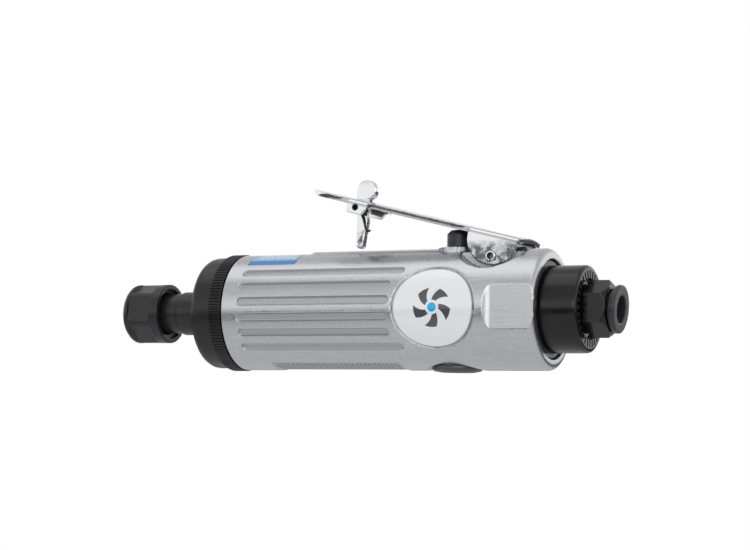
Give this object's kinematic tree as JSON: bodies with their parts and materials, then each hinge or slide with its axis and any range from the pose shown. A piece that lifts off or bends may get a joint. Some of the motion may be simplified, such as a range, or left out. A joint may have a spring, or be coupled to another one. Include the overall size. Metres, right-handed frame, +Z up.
{
  "type": "air die grinder",
  "caption": "Straight air die grinder with a knurled front cap, ribbed aluminium housing, collet nut, latched throttle lever and rear exhaust.",
  "frame": {"origin": "on the spindle axis at the end face of the air inlet bush", "axes": "+X along the spindle axis from the collet to the air inlet, +Z up through the throttle lever"},
  "size_m": [0.1704, 0.0378, 0.0611],
  "materials": {
    "cast_aluminium": "satin",
    "black_cap": "black oxide",
    "black_spindle": "black oxide",
    "black_nut": "black oxide",
    "black_exhaust": "black anodised, satin",
    "black_inlet": "black oxide",
    "bright_collet": "ground",
    "chrome_lever": "bright nickel plate",
    "chrome_latch": "bright nickel plate",
    "black_wire": "oiled black spring wire",
    "pin_steel": "rolled spring steel",
    "white_badge": "gloss film",
    "blue_label": "gloss film",
    "etched_plate": "etched",
    "black_plastic": "matt",
    "protector_plastic": "satin",
    "regulator_metal": "dark, turned",
    "motor_steel": "ground",
    "bearing_steel": "polished",
    "brass": "turned",
    "rubber": "moulded",
    "felt": "pressed",
    "vane_laminate": "phenolic laminate"
  },
  "bodies": {
    "root": {"housing": "cast_aluminium", "badge_near": "white_badge", "badge_far": "white_badge", "top_label": "blue_label", "data_plate": "etched_plate", "front_cap": "black_cap", "dust_seal": "felt", "front_plate": "motor_steel", "cylinder_liner": "motor_steel", "rear_plate": "motor_steel", "alignment_pin": "motor_steel", "wave_washer": "motor_steel", "front_bearing_outer": "bearing_steel", "rear_bearing_outer": "bearing_steel", "stem_bush": "brass", "valve_seat": "brass", "valve_spring": "motor_steel", "regulator_clip": "motor_steel", "lever_pin": "pin_steel", "exhaust_cap": "black_exhaust", "cap_gasket": "rubber", "muffler": "felt", "inlet_bush": "black_inlet", "inlet_screen": "brass", "thread_protector": "protector_plastic"},
    "spindle": {"rotor_spindle": "black_spindle", "collet_nut": "black_nut", "collet": "bright_collet", "front_spacer": "motor_steel", "vane_1": "vane_laminate", "vane_2": "vane_laminate", "vane_3": "vane_laminate", "vane_4": "vane_laminate", "vane_5": "vane_laminate", "front_bearing_inner": "bearing_steel", "rear_bearing_inner": "bearing_steel"},
    "front_balls": {"front_bearing_balls": "bearing_steel"},
    "rear_balls": {"rear_bearing_balls": "bearing_steel"},
    "lever": {"throttle_lever": "chrome_lever", "latch_pin": "pin_steel"},
    "latch": {"latch": "chrome_latch", "latch_spring": "black_wire"},
    "throttle_valve": {"throttle_stem": "black_plastic", "stem_o_ring": "rubber", "valve_poppet": "rubber"},
    "regulator": {"air_regulator": "regulator_metal", "regulator_o_ring": "rubber"}
  },
  "joints": [
    {"name": "spindle_spin", "type": "hinge", "parent": "root", "child": "spindle", "pos_m": [-0.1, 0, 0], "axis": [1, 0, 0], "continuous": true},
    {"name": "front_cage_spin", "type": "hinge", "parent": "root", "child": "front_balls", "pos_m": [-0.1229, 0, 0], "axis": [1, 0, 0], "continuous": true},
    {"name": "rear_cage_spin", "type": "hinge", "parent": "root", "child": "rear_balls", "pos_m": [-0.0683, 0, 0], "axis": [1, 0, 0], "continuous": true},
    {"name": "lever_press", "type": "hinge", "parent": "root", "child": "lever", "pos_m": [-0.0362, 0, 0.016], "axis": [0, -1, 0], "range_deg": [0, 4.5], "stiffness_Nm_per_rad": 2, "springref_deg": -2.86},
    {"name": "latch_fold", "type": "hinge", "parent": "lever", "child": "latch", "pos_m": [-0.0822, 0, 0.03243], "axis": [0, -1, 0], "range_deg": [0, 74]},
    {"name": "throttle_slide", "type": "slide", "parent": "root", "child": "throttle_valve", "axis": [0, 0, -1], "range_m": [0, 0.0011], "deforming": ["valve_spring"]},
    {"name": "regulator_turn", "type": "hinge", "parent": "root", "child": "regulator", "pos_m": [-0.05, 0, -0.012], "axis": [0, 0, 1], "range_deg": [0, 90]}
  ],
  "couplings": [
    {"joint": "front_cage_spin", "follows": "spindle_spin", "ratio": 0.414},
    {"joint": "rear_cage_spin", "follows": "spindle_spin", "ratio": 0.373},
    {"joint": "latch_fold", "follows": "lever_press", "ratio": 16.2},
    {"joint": "throttle_slide", "follows": "lever_press", "m_per_rad": 0.0138}
  ]
}
